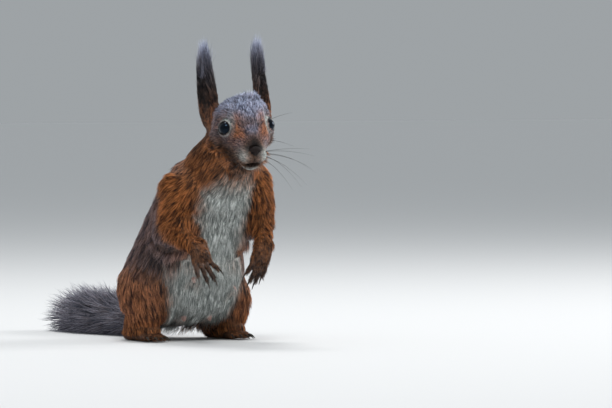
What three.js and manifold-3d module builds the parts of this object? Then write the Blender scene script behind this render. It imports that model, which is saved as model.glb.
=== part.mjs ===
// A red squirrel standing up on its hind feet with its forepaws hanging, as a still life-size model.
// Millimetres. +Z is up, the animal faces -Y and its own left side is +X.
// Every form reaches out to the tips of the coat.
import * as THREE from "three";
import { mergeVertices } from "three/addons/utils/BufferGeometryUtils.js";
import Module from "manifold-3d";

const wasm = await Module();
wasm.setup();

// Driving dimensions. A place is given as how far it is to the animal's left, ahead and up. The places of
// a limb are those of the left one, and the right one is its mirror image.

const GAP = 0.35; // clearance between neighbouring pieces
const LEFT = 1;
const RIGHT = -1;
const LEFTWARD = new THREE.Vector3(1, 0, 0);
const degrees = THREE.MathUtils.degToRad;

const HEAD = {
  at: [-4, 84, 155.5], // midway between the eyes
  turn: degrees(-16), // towards the right shoulder
  nod: degrees(28),
  tilt: degrees(-4.5),
};
const EYE = { at: [14.8, 0.5, 0], radius: 5.5 };
const EAR = {
  base: [19.5, -20, -10],
  height: 40,
  breadth: 9.5, // half of it, where it is broadest
  opening: degrees(45), // how far it faces outwards from straight ahead
  back: degrees(28), // how far it leans back in the head, so that it stands upright
  lean: { [RIGHT]: degrees(5), [LEFT]: degrees(3.5) }, // how far each leans to the right
};
const TUFT = { from: 31, to: 60, breadth: 7.6 };

const NOSE = { at: [0, 26.2, -5.4], wide: 4.5, deep: 2.9, tall: 3.9 };
const MOUTH = { at: [0, 25.5, -18.8], wide: 5.5, deep: 5.5, open: 1.8 };

const SHOULDER = { [RIGHT]: [28, 33, 112], [LEFT]: [24.5, 44, 120] };
const ELBOW = { [RIGHT]: [36.5, 23, 79], [LEFT]: [37, 36, 82] };
const WRIST = { [RIGHT]: [31, 59, 72], [LEFT]: [24, 62, 73] };
const FINGER = { length: 19, radius: 1.9, taper: 0.1, apart: 5.8, count: 4 };
const FRONT_CLAW = { length: 7, radius: 1 };

// How each hand hangs from its wrist: where its knuckles are from there, how far ahead and down its fingers
// point, how much they curl back, how far they fan out and turn inwards, and how much further up the
// innermost one points.
const HANG = {
  [RIGHT]: { knuckles: [-0.5, 7.5, -12], ahead: 0.62, down: 0.8, curl: 0.05, fan: 2.8, inwards: 0, lift: 5 },
  [LEFT]: { knuckles: [-2.5, -0.5, -14], ahead: -0.1, down: 0.86, curl: -0.34, fan: 0.8, inwards: 1, lift: 3 },
};

const HIP = [22, -24, 38];
const KNEE = [36, 7, 28];
const ANKLE = [34, -26, 9];
const SOLE = { length: 30, wide: 6.6, deep: 4.6 };
const TOE = { length: 14, radius: 2.2, count: 5 };
const HIND_CLAW = { length: 6.5, radius: 1.05 };

// Colours of the coat and the bare parts

const coat = (color, roughness = 0.9) => new THREE.MeshStandardMaterial({ color, roughness, metalness: 0 });
const rust = coat(0x8a4a26);
const umber = coat(0x5b4034);
const slate = coat(0x5f5560);
const sooty = coat(0x3b3438);
const horn = coat(0x2b211d, 0.45);
const wetBlack = coat(0x0c0a0a, 0.08);
const noseSkin = coat(0x3a2a26, 0.5);

// Forms

function place(left, ahead, up) {
  return new THREE.Vector3(left, -ahead, up);
}

function onSide(side, [left, ahead, up]) {
  return [side * left, ahead, up];
}

function between(a, b, share) {
  return a.map((value, axis) => value + (b[axis] - value) * share);
}

function solidOf(geometry) {
  const bare = geometry.clone();
  bare.deleteAttribute("normal");
  bare.deleteAttribute("uv");
  const merged = mergeVertices(bare, 1e-4);
  return new wasm.Manifold(
    new wasm.Mesh({
      numProp: 3,
      vertProperties: merged.attributes.position.array,
      triVerts: new Uint32Array(merged.index.array),
    }),
  );
}

// A closed form with round ends that follows a smooth line. Each station says where the line runs, and how
// far the form reaches there to each side (wide), upwards (top) and downwards (under). It is a sphere whose
// rows are laid along the line: the first and last few make the round ends, which reach past the line by the
// lengths in caps. A form that is grown by the gap cuts room for itself out of its neighbours.
function form(stations, { caps, around = 14, along = 8, rings = 3, aside = LEFTWARD, grow = 0 }) {
  const line = new THREE.CatmullRomCurve3(stations.map(({ at }) => place(...at)));
  const girth = new THREE.CatmullRomCurve3(
    stations.map(({ wide, top = wide, under = top }) => new THREE.Vector3(wide, top, under).addScalar(grow)),
  );
  const rows = along + 2 * rings;
  const sphere = new THREE.SphereGeometry(1, around, rows);
  const { position, uv } = sphere.attributes;
  const point = new THREE.Vector3();
  for (let i = 0; i < position.count; i++) {
    const row = Math.round((1 - uv.getY(i)) * rows);
    const t = THREE.MathUtils.clamp((row - rings) / along, 0, 1);
    const past = row < rings ? row / rings - 1 : Math.max(0, (row - rings - along) / rings);
    const length = (row < rings ? caps[0] : caps[1]) + grow;
    const shrink = Math.cos((past * Math.PI) / 2);
    const turn = uv.getX(i) * 2 * Math.PI;
    const across = -Math.cos(turn) * shrink;
    const rise = Math.sin(turn) * shrink;
    const onward = line.getTangent(t);
    const side = aside.clone().addScaledVector(onward, -aside.dot(onward)).normalize();
    const up = onward.clone().cross(side);
    const reach = girth.getPoint(t);
    point
      .copy(line.getPoint(t))
      .addScaledVector(onward, length * Math.sin((past * Math.PI) / 2))
      .addScaledVector(side, reach.x * across)
      .addScaledVector(up, (rise > 0 ? reach.y : reach.z) * rise);
    position.setXYZ(i, point.x, point.y, point.z);
  }
  return solidOf(sphere);
}

// An oval pad at a point, unturned.
function pad(at, wide, long, tall, detail = 14) {
  const sphere = new THREE.SphereGeometry(1, detail, Math.round(detail * 0.7));
  sphere.scale(wide, long, tall);
  const centre = place(...at);
  sphere.translate(centre.x, centre.y, centre.z);
  return solidOf(sphere);
}

const joined = (solids) => solids.reduce((a, b) => a.add(b));
const without = (solid, cutters) => cutters.reduce((a, b) => a.subtract(b), solid);
const bothSides = (make) => [make(LEFT), make(RIGHT)];
const each = (count, make) => Array.from({ length: count }, (_, i) => make(i));

// What is left above the floor, so that everything that rests there ends in a small flat.
function onFloor(solid) {
  const floor = new THREE.BoxGeometry(600, 600, 40);
  floor.translate(0, 0, -20);
  return solid.subtract(solidOf(floor));
}

// The mesh of a solid. Slivers that a cut has parted from it are dropped.
function piece(name, solid, material) {
  const [largest] = solid.decompose().sort((a, b) => b.volume() - a.volume());
  const { vertProperties, triVerts } = largest.getMesh();
  const geometry = new THREE.BufferGeometry();
  geometry.setAttribute("position", new THREE.BufferAttribute(vertProperties, 3));
  geometry.setIndex(new THREE.BufferAttribute(triVerts, 1));
  geometry.computeVertexNormals();
  const mesh = new THREE.Mesh(geometry, material);
  mesh.name = name;
  return mesh;
}

const sideName = (side) => (side === LEFT ? "left" : "right");

// Head. Everything here is in the head's own frame, from the point midway between the eyes.

function skull(grow = 0) {
  const stations = [
    { at: [0, -22, -3], wide: 17.5, top: 17, under: 13 },
    { at: [0, -13, -4], wide: 20.5, top: 22.5, under: 17 },
    { at: [0, -4, -5], wide: 20, top: 23, under: 18.5 },
    { at: [0, 4, -6.5], wide: 17.5, top: 21, under: 18.5 },
    { at: [0, 11, -8], wide: 14, top: 17.5, under: 17.5 },
    { at: [0, 18, -9.5], wide: 11, top: 13, under: 18.5 },
    { at: [0, 23, -10.5], wide: 8.5, top: 9.5, under: 15 },
  ];
  const length = form(stations, { caps: [8, 4], around: 18, along: 9, rings: 2, grow });
  const cheeks = bothSides((side) => pad([side * 13, -9, -9], 9 + grow, 13 + grow, 11.5 + grow, 10));
  const lipPads = bothSides((side) => pad([side * 5, 20.5, -11.5], 6 + grow, 7 + grow, 6.5 + grow, 10));
  return joined([length, ...cheeks, ...lipPads]);
}

function eyeball(side, grow = 0) {
  const r = EYE.radius + grow;
  return pad(onSide(side, EYE.at), r, r, r, 12);
}

function noseTip(grow = 0) {
  return pad(NOSE.at, NOSE.wide + grow, NOSE.deep + grow, NOSE.tall + grow, 12);
}

function head() {
  const mouth = pad(MOUTH.at, MOUTH.wide, MOUTH.deep, MOUTH.open, 8);
  const bare = without(skull(), [...bothSides((side) => eyeball(side, GAP)), noseTip(GAP), mouth]);
  return piece("head", bare, slate);
}

// A place on the ear's line, which runs from its root beside the eye up through the tip of its tuft.
function earLine(side, height) {
  const [left, ahead, up] = EAR.base;
  const lean = height * Math.sin(EAR.lean[side]);
  return [side * left - lean, ahead - height * Math.sin(EAR.back), up + height * Math.cos(EAR.back)];
}

// The direction across the ear's breadth.
function earAcross(side) {
  return new THREE.Vector3(Math.cos(EAR.opening), side * Math.sin(EAR.opening), 0);
}

function pinna(side, grow = 0) {
  const { breadth, height } = EAR;
  const stations = [
    { at: earLine(side, 1), wide: breadth * 0.75, top: 3.6 },
    { at: earLine(side, height * 0.32), wide: breadth, top: 3.4 },
    { at: earLine(side, height * 0.65), wide: breadth * 0.88, top: 2.9 },
    { at: earLine(side, height), wide: breadth * 0.6, top: 2.2 },
  ];
  return form(stations, { caps: [3, 3], around: 10, along: 4, rings: 2, aside: earAcross(side), grow });
}

// The hollow of the ear, open to the front.
function earHollow(side) {
  const { breadth, height } = EAR;
  const stations = [
    { at: earLine(side, 6), wide: breadth * 0.5, top: 0.8, under: 8 },
    { at: earLine(side, height * 0.4), wide: breadth * 0.68, top: 1.2, under: 8 },
    { at: earLine(side, height * 0.78), wide: breadth * 0.42, top: 0.6, under: 8 },
  ];
  return form(stations, { caps: [3, 3], around: 8, along: 3, rings: 1, aside: earAcross(side) });
}

function ear(side) {
  const shell = without(pinna(side), [earHollow(side), skull(GAP)]);
  return piece(`ear_${sideName(side)}`, shell, umber);
}

function earTuft(side) {
  const { from, to, breadth } = TUFT;
  const stations = [
    { at: earLine(side, from), wide: breadth * 0.95, top: 2.8 },
    { at: earLine(side, (from + to) / 2), wide: breadth, top: 3.2 },
    { at: earLine(side, from * 0.2 + to * 0.8), wide: breadth * 0.8, top: 2.4 },
    { at: earLine(side, to), wide: breadth * 0.3, top: 1 },
  ];
  const hair = form(stations, { caps: [2, 2], around: 8, along: 4, rings: 1, aside: earAcross(side) });
  return piece(`ear_tuft_${sideName(side)}`, without(hair, [pinna(side, GAP)]), sooty);
}

// Trunk, neck and tail

function torso(grow = 0) {
  const stations = [
    { at: [0, -40, 28], wide: 31, top: 16, under: 20 },
    { at: [0, -25, 36], wide: 40, top: 27, under: 30 },
    { at: [0, -8, 51], wide: 45, top: 34, under: 43 },
    { at: [0, 4, 75], wide: 39, top: 33, under: 39 },
    { at: [0, 18, 99], wide: 35, top: 29.5, under: 33 },
    { at: [0, 34, 119], wide: 30, top: 24, under: 29 },
  ];
  return form(stations, { caps: [8, 14], around: 20, along: 10, rings: 2, grow });
}

function throat(grow = 0) {
  const stations = [
    { at: [0, 36, 118], wide: 28, top: 23.5, under: 27 },
    { at: [0, 52, 134], wide: 25, top: 21.5, under: 24 },
    { at: [-1, 62, 146], wide: 21, top: 18, under: 19 },
  ];
  return form(stations, { caps: [6, 8], around: 16, along: 4, rings: 2, grow });
}

function brush(grow = 0) {
  const stations = [
    { at: [0, -178, 12], wide: 9, top: 8, under: 13 },
    { at: [0, -162, 15], wide: 18, top: 15, under: 17 },
    { at: [0, -135, 17], wide: 24, top: 18.5, under: 19 },
    { at: [0, -100, 17], wide: 25, top: 18.5, under: 19 },
    { at: [0, -72, 18], wide: 22, top: 17, under: 19 },
    { at: [0, -52, 20], wide: 17, top: 14, under: 18 },
    { at: [0, -36, 26], wide: 14, top: 12, under: 16 },
  ];
  return form(stations, { caps: [8, 4], around: 16, along: 9, rings: 2, grow });
}

// Hind legs

function haunch(side, grow = 0) {
  const stations = [
    { at: onSide(side, HIP), wide: 21, top: 26, under: 28 },
    { at: onSide(side, [29, -13, 37]), wide: 20, top: 25, under: 27 },
    { at: onSide(side, [34, -2, 33]), wide: 16, top: 21, under: 22 },
    { at: onSide(side, KNEE), wide: 12, top: 15, under: 15 },
  ];
  return form(stations, { caps: [15, 10], around: 14, along: 5, rings: 2, grow });
}

function shank(side, grow = 0) {
  const [left, ahead, up] = KNEE;
  const stations = [
    { at: onSide(side, ANKLE), wide: 6.4, top: 6.5, under: 7 },
    { at: onSide(side, [left - 1, (ANKLE[1] + ahead) / 2, 14]), wide: 9, top: 10 },
    { at: onSide(side, [left, ahead, up - 8]), wide: 10, top: 11 },
  ];
  return form(stations, { caps: [5, 8], around: 10, along: 3, rings: 2, grow });
}

// How far to one side of a paw its toe or finger number i is: from -1 on the inside to 1 on the outside.
const spread = (i, count) => (2 * i) / (count - 1) - 1;

function toeLine(side, i) {
  const s = spread(i, TOE.count);
  const [left, ahead] = ANKLE;
  const root = [side * (left + 2 + s * 5), ahead + SOLE.length + 1 - s * s * 3.5];
  const length = TOE.length * (1 - 0.22 * s * s);
  const at = (share, up) => [root[0] + side * s * 2.6 * share, root[1] + length * share, up];
  return [at(0, 4), at(0.5, 4.8), at(1, 2.6)];
}

function toe(side, i) {
  const { radius } = TOE;
  const stations = toeLine(side, i).map((at) => ({ at, wide: radius, top: radius, under: radius * 1.15 }));
  return form(stations, { caps: [1.5, 1.6], around: 6, along: 2, rings: 1 });
}

// A curved claw from a fingertip: heading is how far it runs to the left and ahead for each length of it.
function claw(start, heading, drop, { length, radius }, grow = 0) {
  const tip = [start[0] + heading[0] * length, start[1] + heading[1] * length, start[2] - drop];
  const middle = between(start, tip, 0.5);
  middle[2] += length * 0.14;
  const stations = [
    { at: start, wide: radius * 0.8, top: radius },
    { at: middle, wide: radius * 0.62, top: radius * 0.85 },
    { at: tip, wide: 0.2, top: 0.24 },
  ];
  return form(stations, { caps: [0.6, 0.3], around: 5, along: 3, rings: 1, grow });
}

function hindClaw(side, i, grow = 0) {
  const [, , [left, ahead]] = toeLine(side, i);
  return claw([left, ahead, 3.5], [side * spread(i, TOE.count) * 0.18, 0.95], 2.6, HIND_CLAW, grow);
}

function sole(side, grow = 0) {
  const [left, ahead] = ANKLE;
  const { length, wide, deep } = SOLE;
  const stations = [
    { at: onSide(side, [left, ahead - 2, 5]), wide: wide * 0.87, top: deep * 1.1, under: 5.6 },
    { at: onSide(side, [left + 1, ahead + length / 2, 4.8]), wide: wide * 0.9, top: deep, under: 5.2 },
    { at: onSide(side, [left + 2, ahead + length, 4.2]), wide, top: deep * 0.8, under: 4.8 },
  ];
  return form(stations, { caps: [5, 3], around: 10, along: 4, rings: 1, grow });
}

function hindLeg(side) {
  const name = sideName(side);
  const toes = each(TOE.count, (i) => toe(side, i));
  const sockets = each(TOE.count, (i) => hindClaw(side, i, GAP));
  const foot = without(joined([sole(side), ...toes]), sockets);
  const lowerLeg = without(shank(side), [haunch(side, GAP), sole(side, GAP)]);
  return [
    piece(`thigh_${name}`, onFloor(without(haunch(side), [sole(side, GAP)])), rust),
    piece(`lower_leg_${name}`, onFloor(lowerLeg), rust),
    piece(`hind_foot_${name}`, onFloor(foot), umber),
    ...each(TOE.count, (i) => piece(`claw_hind_${name}_${i + 1}`, onFloor(hindClaw(side, i)), horn)),
  ];
}

// Forelegs

function upperArm(side, grow = 0) {
  const shoulder = SHOULDER[side];
  const elbow = ELBOW[side];
  const stations = [
    { at: onSide(side, shoulder), wide: 14, top: 16 },
    { at: onSide(side, between(shoulder, elbow, 0.5)), wide: 13.5, top: 16.5 },
    { at: onSide(side, elbow), wide: 10, top: 12 },
  ];
  return form(stations, { caps: [11, 9], around: 12, along: 4, rings: 2, grow });
}

function forearm(side, grow = 0) {
  const [left, ahead, up] = ELBOW[side];
  const wrist = WRIST[side];
  const middle = between(ELBOW[side], wrist, 0.5);
  middle[1] += 2;
  const stations = [
    { at: onSide(side, [left, ahead + 3, up - 1]), wide: 9.5, top: 10, under: 11 },
    { at: onSide(side, middle), wide: 8.5, top: 9, under: 9.5 },
    { at: onSide(side, wrist), wide: 6.5, top: 6.2, under: 6.2 },
  ];
  return form(stations, { caps: [7, 3.5], around: 10, along: 3, rings: 2, grow });
}

function knuckle(side) {
  const { knuckles } = HANG[side];
  return WRIST[side].map((value, axis) => value + knuckles[axis]);
}

function fingerLine(side, i) {
  const s = spread(i, FINGER.count);
  const [left, ahead, up] = knuckle(side);
  const { ahead: reach, down, curl, fan, inwards, lift } = HANG[side];
  const length = FINGER.length * (1 - 0.28 * s * s);
  const raised = (lift * (1 - s) * (1 - s)) / 4;
  const at = (share) => [
    side * (left + s * (FINGER.apart + share * fan) - inwards * share),
    ahead + length * (reach * share + curl * share * share),
    up - (length * down - raised) * share,
  ];
  return [at(-0.1), at(0.5), at(1)];
}

function finger(side, i) {
  const { radius, taper } = FINGER;
  const stations = fingerLine(side, i).map((at, joint) => ({ at, wide: radius * (1 - taper * joint) }));
  return form(stations, { caps: [1, 1.5], around: 6, along: 2, rings: 1 });
}

function frontClaw(side, i, grow = 0) {
  const [, bend, end] = fingerLine(side, i);
  const run = Math.hypot(end[1] - bend[1], end[2] - bend[2]);
  const outwards = (HANG[side].fan * side * spread(i, FINGER.count)) / 20;
  const onward = (0.9 * (end[1] - bend[1])) / run - 0.12;
  const drop = (0.9 * FRONT_CLAW.length * (bend[2] - end[2])) / run + 0.8;
  return claw(end, [outwards, onward], drop, FRONT_CLAW, grow);
}

function forepaw(side) {
  const wrist = WRIST[side];
  const end = knuckle(side);
  const [left, ahead, up] = between(wrist, end, 0.5);
  const stations = [
    { at: onSide(side, [wrist[0], wrist[1] + 1, wrist[2] - 1]), wide: 6.2, top: 5.6 },
    { at: onSide(side, [left, ahead + 1.5, up]), wide: 7.2, top: 5.2 },
    { at: onSide(side, end), wide: 8, top: 4.2 },
  ];
  const palm = form(stations, { caps: [2.5, 2], around: 10, along: 3, rings: 1 });
  const fingers = each(FINGER.count, (i) => finger(side, i));
  const sockets = each(FINGER.count, (i) => frontClaw(side, i, GAP));
  return without(joined([palm, ...fingers]), [...sockets, forearm(side, GAP)]);
}

function foreleg(side) {
  const name = sideName(side);
  return [
    piece(`upper_arm_${name}`, upperArm(side), rust),
    piece(`forearm_${name}`, without(forearm(side), [upperArm(side, GAP)]), rust),
    piece(`forepaw_${name}`, forepaw(side), umber),
    ...each(FINGER.count, (i) => piece(`claw_front_${name}_${i + 1}`, frontClaw(side, i), horn)),
  ];
}

// Assembly

const headGroup = new THREE.Group();
headGroup.position.copy(place(...HEAD.at));
headGroup.rotation.set(HEAD.nod, HEAD.tilt, HEAD.turn, "ZXY");
headGroup.updateMatrix();
headGroup.add(head());
headGroup.add(piece("nose", noseTip(), noseSkin));
for (const side of [LEFT, RIGHT]) {
  headGroup.add(piece(`eye_${sideName(side)}`, eyeball(side), wetBlack));
  headGroup.add(ear(side));
  headGroup.add(earTuft(side));
}

const legsAround = bothSides((side) => joined([haunch(side, GAP), shank(side, GAP)]));
const armsAround = bothSides((side) => joined([upperArm(side, GAP), forearm(side, GAP)]));
const earsAround = bothSides((side) => pinna(side, GAP));
const headAround = joined([skull(GAP), ...earsAround]).transform(headGroup.matrix.elements);

const squirrel = new THREE.Group();
squirrel.add(headGroup);
squirrel.add(piece("trunk", onFloor(without(torso(), [...legsAround, ...armsAround])), rust));
squirrel.add(piece("neck", without(throat(), [torso(GAP), ...armsAround, headAround]), rust));
squirrel.add(piece("tail", onFloor(without(brush(), [torso(GAP), ...legsAround])), slate));
for (const side of [LEFT, RIGHT]) {
  squirrel.add(...foreleg(side), ...hindLeg(side));
}

// The origin is on the floor, under the middle of the whole.
const bounds = new THREE.Box3().setFromObject(squirrel, true);
const middle = bounds.getCenter(new THREE.Vector3());
squirrel.position.set(-middle.x, -middle.y, 0);

export default squirrel;
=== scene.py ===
"""The skin, coat, eyes, nose, claws and whiskers of a standing red squirrel, made over its solid frame."""
import math

import bmesh
import bpy
import numpy as np
from mathutils import Matrix, Vector, noise
from mathutils.bvhtree import BVHTree
from mathutils.kdtree import KDTree


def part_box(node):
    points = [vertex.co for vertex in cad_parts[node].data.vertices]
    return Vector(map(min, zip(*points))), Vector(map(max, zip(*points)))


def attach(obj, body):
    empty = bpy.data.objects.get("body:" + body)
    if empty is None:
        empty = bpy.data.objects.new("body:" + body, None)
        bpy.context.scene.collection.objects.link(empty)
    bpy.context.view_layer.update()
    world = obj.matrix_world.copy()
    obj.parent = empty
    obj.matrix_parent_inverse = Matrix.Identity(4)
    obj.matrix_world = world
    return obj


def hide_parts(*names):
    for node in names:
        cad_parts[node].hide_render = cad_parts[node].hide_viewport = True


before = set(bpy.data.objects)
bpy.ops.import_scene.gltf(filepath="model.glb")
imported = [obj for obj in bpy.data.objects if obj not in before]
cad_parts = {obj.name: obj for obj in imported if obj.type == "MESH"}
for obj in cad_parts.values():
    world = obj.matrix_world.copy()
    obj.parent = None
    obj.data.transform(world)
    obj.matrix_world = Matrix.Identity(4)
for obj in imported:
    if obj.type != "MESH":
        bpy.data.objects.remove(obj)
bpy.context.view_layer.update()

MM = 0.001
SIDES = {"left": 1, "right": -1}
rng = np.random.default_rng(7)

# How each part of the body is clothed, in millimetres and degrees: how deep the skin lies under the solids,
# how far the creases round it are filled, how long and broad a tuft is, and how far it stands up from the
# skin at its root and at its tip.
COLUMNS = ("depth", "fill", "hair", "broad", "root_lift", "tip_lift")
CLOTHING = {
    "head": (1.2, 0, 4.0, 0.38, 24, 4),
    "ear": (0.5, 0, 5.0, 0.36, 22, 6),
    "neck": (1.6, 7, 9.0, 0.44, 17, -2),
    "trunk": (1.4, 7, 10.5, 0.44, 16, -2),
    "upper_arm": (1.4, 7, 10.0, 0.44, 17, -2),
    "forearm": (2.2, 4, 7.0, 0.42, 17, -2),
    "forepaw": (-0.35, 0, 3.4, 0.32, 16, 2),
    "thigh": (1.4, 5, 9.0, 0.44, 17, -2),
    "lower_leg": (1.2, 3, 6.5, 0.42, 17, 0),
    "hind_foot": (0.2, 0, 3.0, 0.34, 16, 2),
    "tail": (0.0, 0, 21.0, 0.46, 46, 20),
}
EAR_TUFT_HAIR = 24
SEAT = 0.3 * MM  # how deep each tuft is rooted
JOINING = 0.3  # how far neighbouring solids grow into each other, in millimetres
VOXEL = 0.9 * MM
FINE_VOXEL = 0.62 * MM
SKIN_TRIANGLES = 186000
BACK_OF_FACE = -16  # how far ahead of the eyes the finer mesh of the head begins

EYE_AXIS = (0.85, 0.45, 0.42)  # to the side, ahead and up in the head
EYE_OPENING = 57  # degrees from the eye's axis to the lids
FRONT_CORNER = {"left": -9, "right": 8}  # how many degrees more towards the nose
LID = 0.6  # how far the lids lie outside the eyeball, in millimetres
HIDDEN = 1.6  # how deep the skin hides inside the eyeball
BACK_OF_EYE = 120  # degrees from the eye's axis at which the skin is left alone
NEAR_EYE = 2.2  # how far from the eye's middle the lids shape the skin, in radii
RIM_REACH = 4.5  # how many degrees from the opening points are gathered into a clean rim
LID_WHOLE, LID_GONE = 16, 42  # degrees outside the opening to which the lid is whole, and where it ends


# Measures

def middle(node):
    low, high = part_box(node)
    return np.array((low + high) / 2)


def joint(first, second):
    """The middle of the space that two neighbouring nodes' boxes share."""
    (low_a, high_a), (low_b, high_b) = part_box(first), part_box(second)
    low = np.maximum(np.array(low_a), np.array(low_b))
    high = np.minimum(np.array(high_a), np.array(high_b))
    return (low + high) / 2


def unit(vectors):
    length = np.linalg.norm(vectors, axis=-1, keepdims=True)
    return vectors / np.maximum(length, 1e-12)


def ease(low, high, value):
    """0 below low, 1 above high and smooth between them."""
    share = np.clip((value - low) / (high - low), 0, 1)
    return share * share * (3 - 2 * share)


def spot(places, centre, reach):
    """1 at the centre, falling away over the reach along each axis."""
    return np.exp(-(((places - np.array(centre)) / np.array(reach)) ** 2).sum(axis=1))


def mirrored(places):
    """The same places with both sides laid on the left one."""
    return np.abs(places) * (1, 0, 0) + places * (0, 1, 1)


def share_along(start, end, places):
    """How far along the line from start to end each place is: 0 at its start and 1 at its end."""
    return (places - start) @ (end - start) / ((end - start) @ (end - start))


EYES = {side: middle(f"eye_{side}") for side in SIDES}
EYE_RADIUS = (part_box("eye_left")[1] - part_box("eye_left")[0]).z / 2
NOSE_DROP = math.atan2(5.5, 26)  # the nose lies this far under the straight line ahead


def head_axes():
    """Rows that point to the head's own left, ahead and up."""
    leftward = unit(EYES["left"] - EYES["right"])
    to_nose = middle("nose") - (EYES["left"] + EYES["right"]) / 2
    to_nose = unit(to_nose - leftward * to_nose.dot(leftward))
    rise = np.cross(to_nose, leftward)
    ahead = to_nose * math.cos(NOSE_DROP) + rise * math.sin(NOSE_DROP)
    return np.array([leftward, ahead, np.cross(ahead, leftward)])


HEAD_AXES = head_axes()
HEAD_AT = (EYES["left"] + EYES["right"]) / 2


def in_head(places):
    """Places in millimetres to the head's left, ahead and up from the point midway between the eyes."""
    return (places - HEAD_AT) @ HEAD_AXES.T / MM


def from_head(places):
    return HEAD_AT + np.asarray(places, float) * MM @ HEAD_AXES


# Mesh arrays

def read(items, key, width, kind=np.float32):
    """One property of every item of a mesh, as rows."""
    found = np.empty(len(items) * width, kind)
    items.foreach_get(key, found)
    return found.reshape(-1, width)


def places_of(mesh):
    return read(mesh.vertices, "co", 3).astype(float)


def place(mesh, places):
    mesh.vertices.foreach_set("co", places.astype(np.float32).ravel())
    mesh.update()


def normals_of(mesh):
    return read(mesh.vertex_normals, "vector", 3).astype(float)


def edges_of(mesh):
    return read(mesh.edges, "vertices", 2, np.int32)


def evened(values, edges, rounds):
    """Values on the points of a mesh, each drawn half of the way to its neighbours' mean in every round."""
    values = values.copy()
    size = len(values)
    neighbours = np.maximum(np.bincount(edges.ravel(), minlength=size), 1)
    for _ in range(rounds):
        for column in range(values.shape[1]):
            one = values[:, column]
            total = np.bincount(edges[:, 0], one[edges[:, 1]], size)
            total += np.bincount(edges[:, 1], one[edges[:, 0]], size)
            values[:, column] = one + (total / neighbours - one) / 2
    return values


def made_mesh(name, solid):
    """The mesh of a finished bmesh, which is then let go."""
    mesh = bpy.data.meshes.new(name)
    solid.to_mesh(mesh)
    solid.free()
    return mesh


def node_solid(node):
    """A node's own mesh with its doubled points joined."""
    solid = bmesh.new()
    solid.from_mesh(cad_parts[node].data)
    bmesh.ops.remove_doubles(solid, verts=solid.verts, dist=0.01 * MM)
    return solid


def linked(name, data):
    """A new object in the scene."""
    made = bpy.data.objects.new(name, data)
    bpy.context.scene.collection.objects.link(made)
    return made


def let_go(holder):
    """The mesh that a passing object's modifier makes."""
    made = bpy.data.meshes.new_from_object(holder.evaluated_get(bpy.context.evaluated_depsgraph_get()))
    bpy.data.objects.remove(holder)
    return made


def shown(name, mesh, material, nodes=()):
    """A finished piece that rides on the body and stands for the nodes."""
    piece = linked(name, mesh)
    mesh.shade_smooth()
    mesh.materials.append(material)
    if nodes:
        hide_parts(*nodes)
    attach(piece, "root")
    return piece


# Skin

def part_of(node):
    """The kind of body part that a node is, if it is flesh."""
    return next((part for part in CLOTHING if node.startswith(part)), None)


FLESH = [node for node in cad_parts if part_of(node) and not node.startswith("ear_tuft")]
PARTS = list(CLOTHING)
NODE_PART = np.array([PARTS.index(part_of(node)) for node in FLESH])
FINE_PARTS = ("forepaw", "hind_foot", "ear", "head")


def is_on(owner, *parts):
    """Whether each point belongs to one of these parts of the body."""
    return np.isin(NODE_PART[owner], [PARTS.index(part) for part in parts])


def at_node(owner, node):
    return owner == FLESH.index(node)


def each_part(amounts, owner):
    """An amount at each point, by the part of the body that it belongs to."""
    return np.array([amounts.get(part, 0) for part in PARTS])[NODE_PART[owner]]


def clothing(column, owner):
    """One of the measures of the clothing at each point."""
    return each_part({part: row[COLUMNS.index(column)] for part, row in CLOTHING.items()}, owner)


# The tail's fleshy core, along it from the rump: the height of its middle and its share of the full breadth.
CORE_STATIONS = [-8, 6, 22, 45, 125]
CORE_SOURCE = [26, 21, 18.5, 18, 16]
CORE_HEIGHT = [26, 20, 15, 13, 11]
CORE_SHARE = [1, 0.62, 0.36, 0.30, 0.26]
CORE_LENGTH = 0.86


def tail_core(solid):
    """Draws the tail's mesh in to the flesh under its long hair."""
    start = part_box("tail")[0].y
    for vert in solid.verts:
        along = vert.co.y / MM
        share = np.interp(along, CORE_STATIONS, CORE_SHARE)
        source = np.interp(along, CORE_STATIONS, CORE_SOURCE) * MM
        height = np.interp(along, CORE_STATIONS, CORE_HEIGHT) * MM
        vert.co.x *= share
        vert.co.z = height + (vert.co.z - source) * share
        vert.co.y = start + (vert.co.y - start) * CORE_LENGTH


def flesh_shells():
    """Every flesh node's mesh in one bmesh, and which part each of its faces belongs to."""
    shells = bmesh.new()
    owners = []
    for node in FLESH:
        solid = node_solid(node)
        if node == "tail":
            tail_core(solid)
        if part_of(node) not in FINE_PARTS:
            solid.normal_update()
            for vert in solid.verts:
                vert.co += vert.normal * JOINING * MM
        mesh = made_mesh("shell", solid)
        shells.from_mesh(mesh)
        owners += [FLESH.index(node)] * len(mesh.polygons)
        bpy.data.meshes.remove(mesh)
    for side in SIDES:  # fills the socket, so that the lids can close over the eye
        before = len(shells.faces)
        bmesh.ops.create_icosphere(shells, subdivisions=4, radius=EYE_RADIUS,
                                   matrix=Matrix.Translation(EYES[side]))
        owners += [FLESH.index("head")] * (len(shells.faces) - before)
    return shells, np.array(owners)


def one_shell(mesh, voxel):
    """The outer surface of a mesh as one even shell."""
    holder = linked("holder", mesh)
    remesh = holder.modifiers.new("one_shell", "REMESH")
    remesh.mode = "VOXEL"
    remesh.voxel_size = voxel
    return let_go(holder)


def owner_of(places, tree, owners):
    return np.array([owners[tree.find_nearest(Vector(p))[2]] for p in places])


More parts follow.
